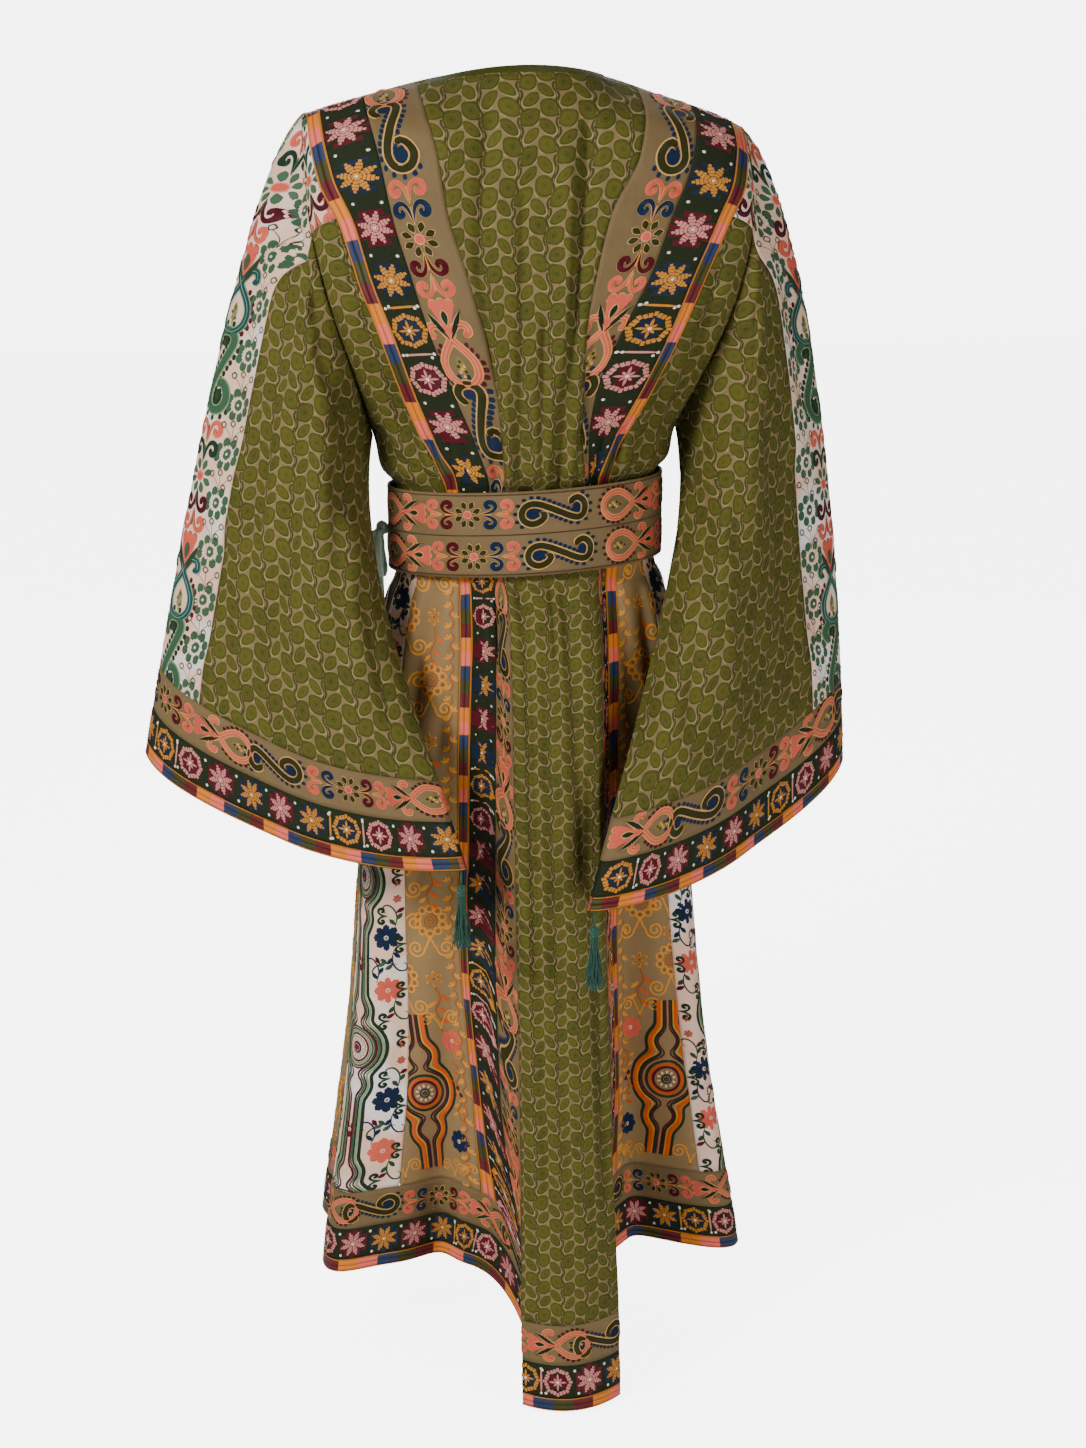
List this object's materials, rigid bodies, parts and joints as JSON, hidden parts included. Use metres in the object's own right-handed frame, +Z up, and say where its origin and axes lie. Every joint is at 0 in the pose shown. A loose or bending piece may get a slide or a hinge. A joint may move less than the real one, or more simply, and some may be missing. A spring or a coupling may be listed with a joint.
{
  "type": "embroidered thobe",
  "caption": "Long embroidered robe with wide bell sleeves, ribboned back, belt and a train, worn shape, hollow and open at neck, cuffs and hem.",
  "frame": {"origin": "middle of the neck opening at the height of the side neck points, where the wearer's shoulders hold the garment", "axes": "+Z up, the back faces -Y and the wearer faces +Y, +X is the wearer's right"},
  "size_m": [0.8394, 0.4785, 1.4981],
  "materials": {
    "leaf_cloth": "olive cotton with raised round leaves in chain stitch on a taupe ground",
    "scroll_ribbon": "taupe ribbon with coloured scroll, flower and tulip embroidery",
    "star_ribbon": "dark green ribbon with stars and octagons in cross stitch and small white beads",
    "stripe_ribbon": "satin ribbon in blocks of maroon, orange, pink, navy and olive",
    "gold_cloth": "taupe cloth with gold couched scrolls and flowers",
    "flower_cloth": "blush white cloth with sage, pink, navy and maroon embroidery",
    "tie_satin": "pale mint satin ribbon",
    "tassel_silk": "dark green silk tassel thread"
  },
  "bodies": {
    "root": {"back_centre_panel": "leaf_cloth", "front_bodice": "leaf_cloth", "front_skirt": "gold_cloth", "belt": "scroll_ribbon", "belt_tie": "tie_satin", "scroll_ribbon_left": "scroll_ribbon", "star_ribbon_left": "star_ribbon", "stripe_ribbon_left": "stripe_ribbon", "sleeve_cap_left": "flower_cloth", "bodice_side_left": "leaf_cloth", "skirt_gold_panel_left": "gold_cloth", "skirt_flower_panel_left": "flower_cloth", "sleeve_top_left": "flower_cloth", "sleeve_under_left": "leaf_cloth", "cuff_scroll_left": "scroll_ribbon", "cuff_star_left": "star_ribbon", "cuff_stripe_left": "stripe_ribbon", "tassel_left": "tassel_silk", "scroll_ribbon_right": "scroll_ribbon", "star_ribbon_right": "star_ribbon", "stripe_ribbon_right": "stripe_ribbon", "sleeve_cap_right": "flower_cloth", "bodice_side_right": "leaf_cloth", "skirt_gold_panel_right": "gold_cloth", "skirt_flower_panel_right": "flower_cloth", "sleeve_top_right": "flower_cloth", "sleeve_under_right": "leaf_cloth", "cuff_scroll_right": "scroll_ribbon", "cuff_star_right": "star_ribbon", "cuff_stripe_right": "stripe_ribbon", "tassel_right": "tassel_silk", "hem_scroll_back": "scroll_ribbon", "hem_scroll_front": "scroll_ribbon", "hem_star_back": "star_ribbon", "hem_star_front": "star_ribbon", "hem_stripe_back": "stripe_ribbon", "hem_stripe_front": "stripe_ribbon"}
  },
  "joints": []
}
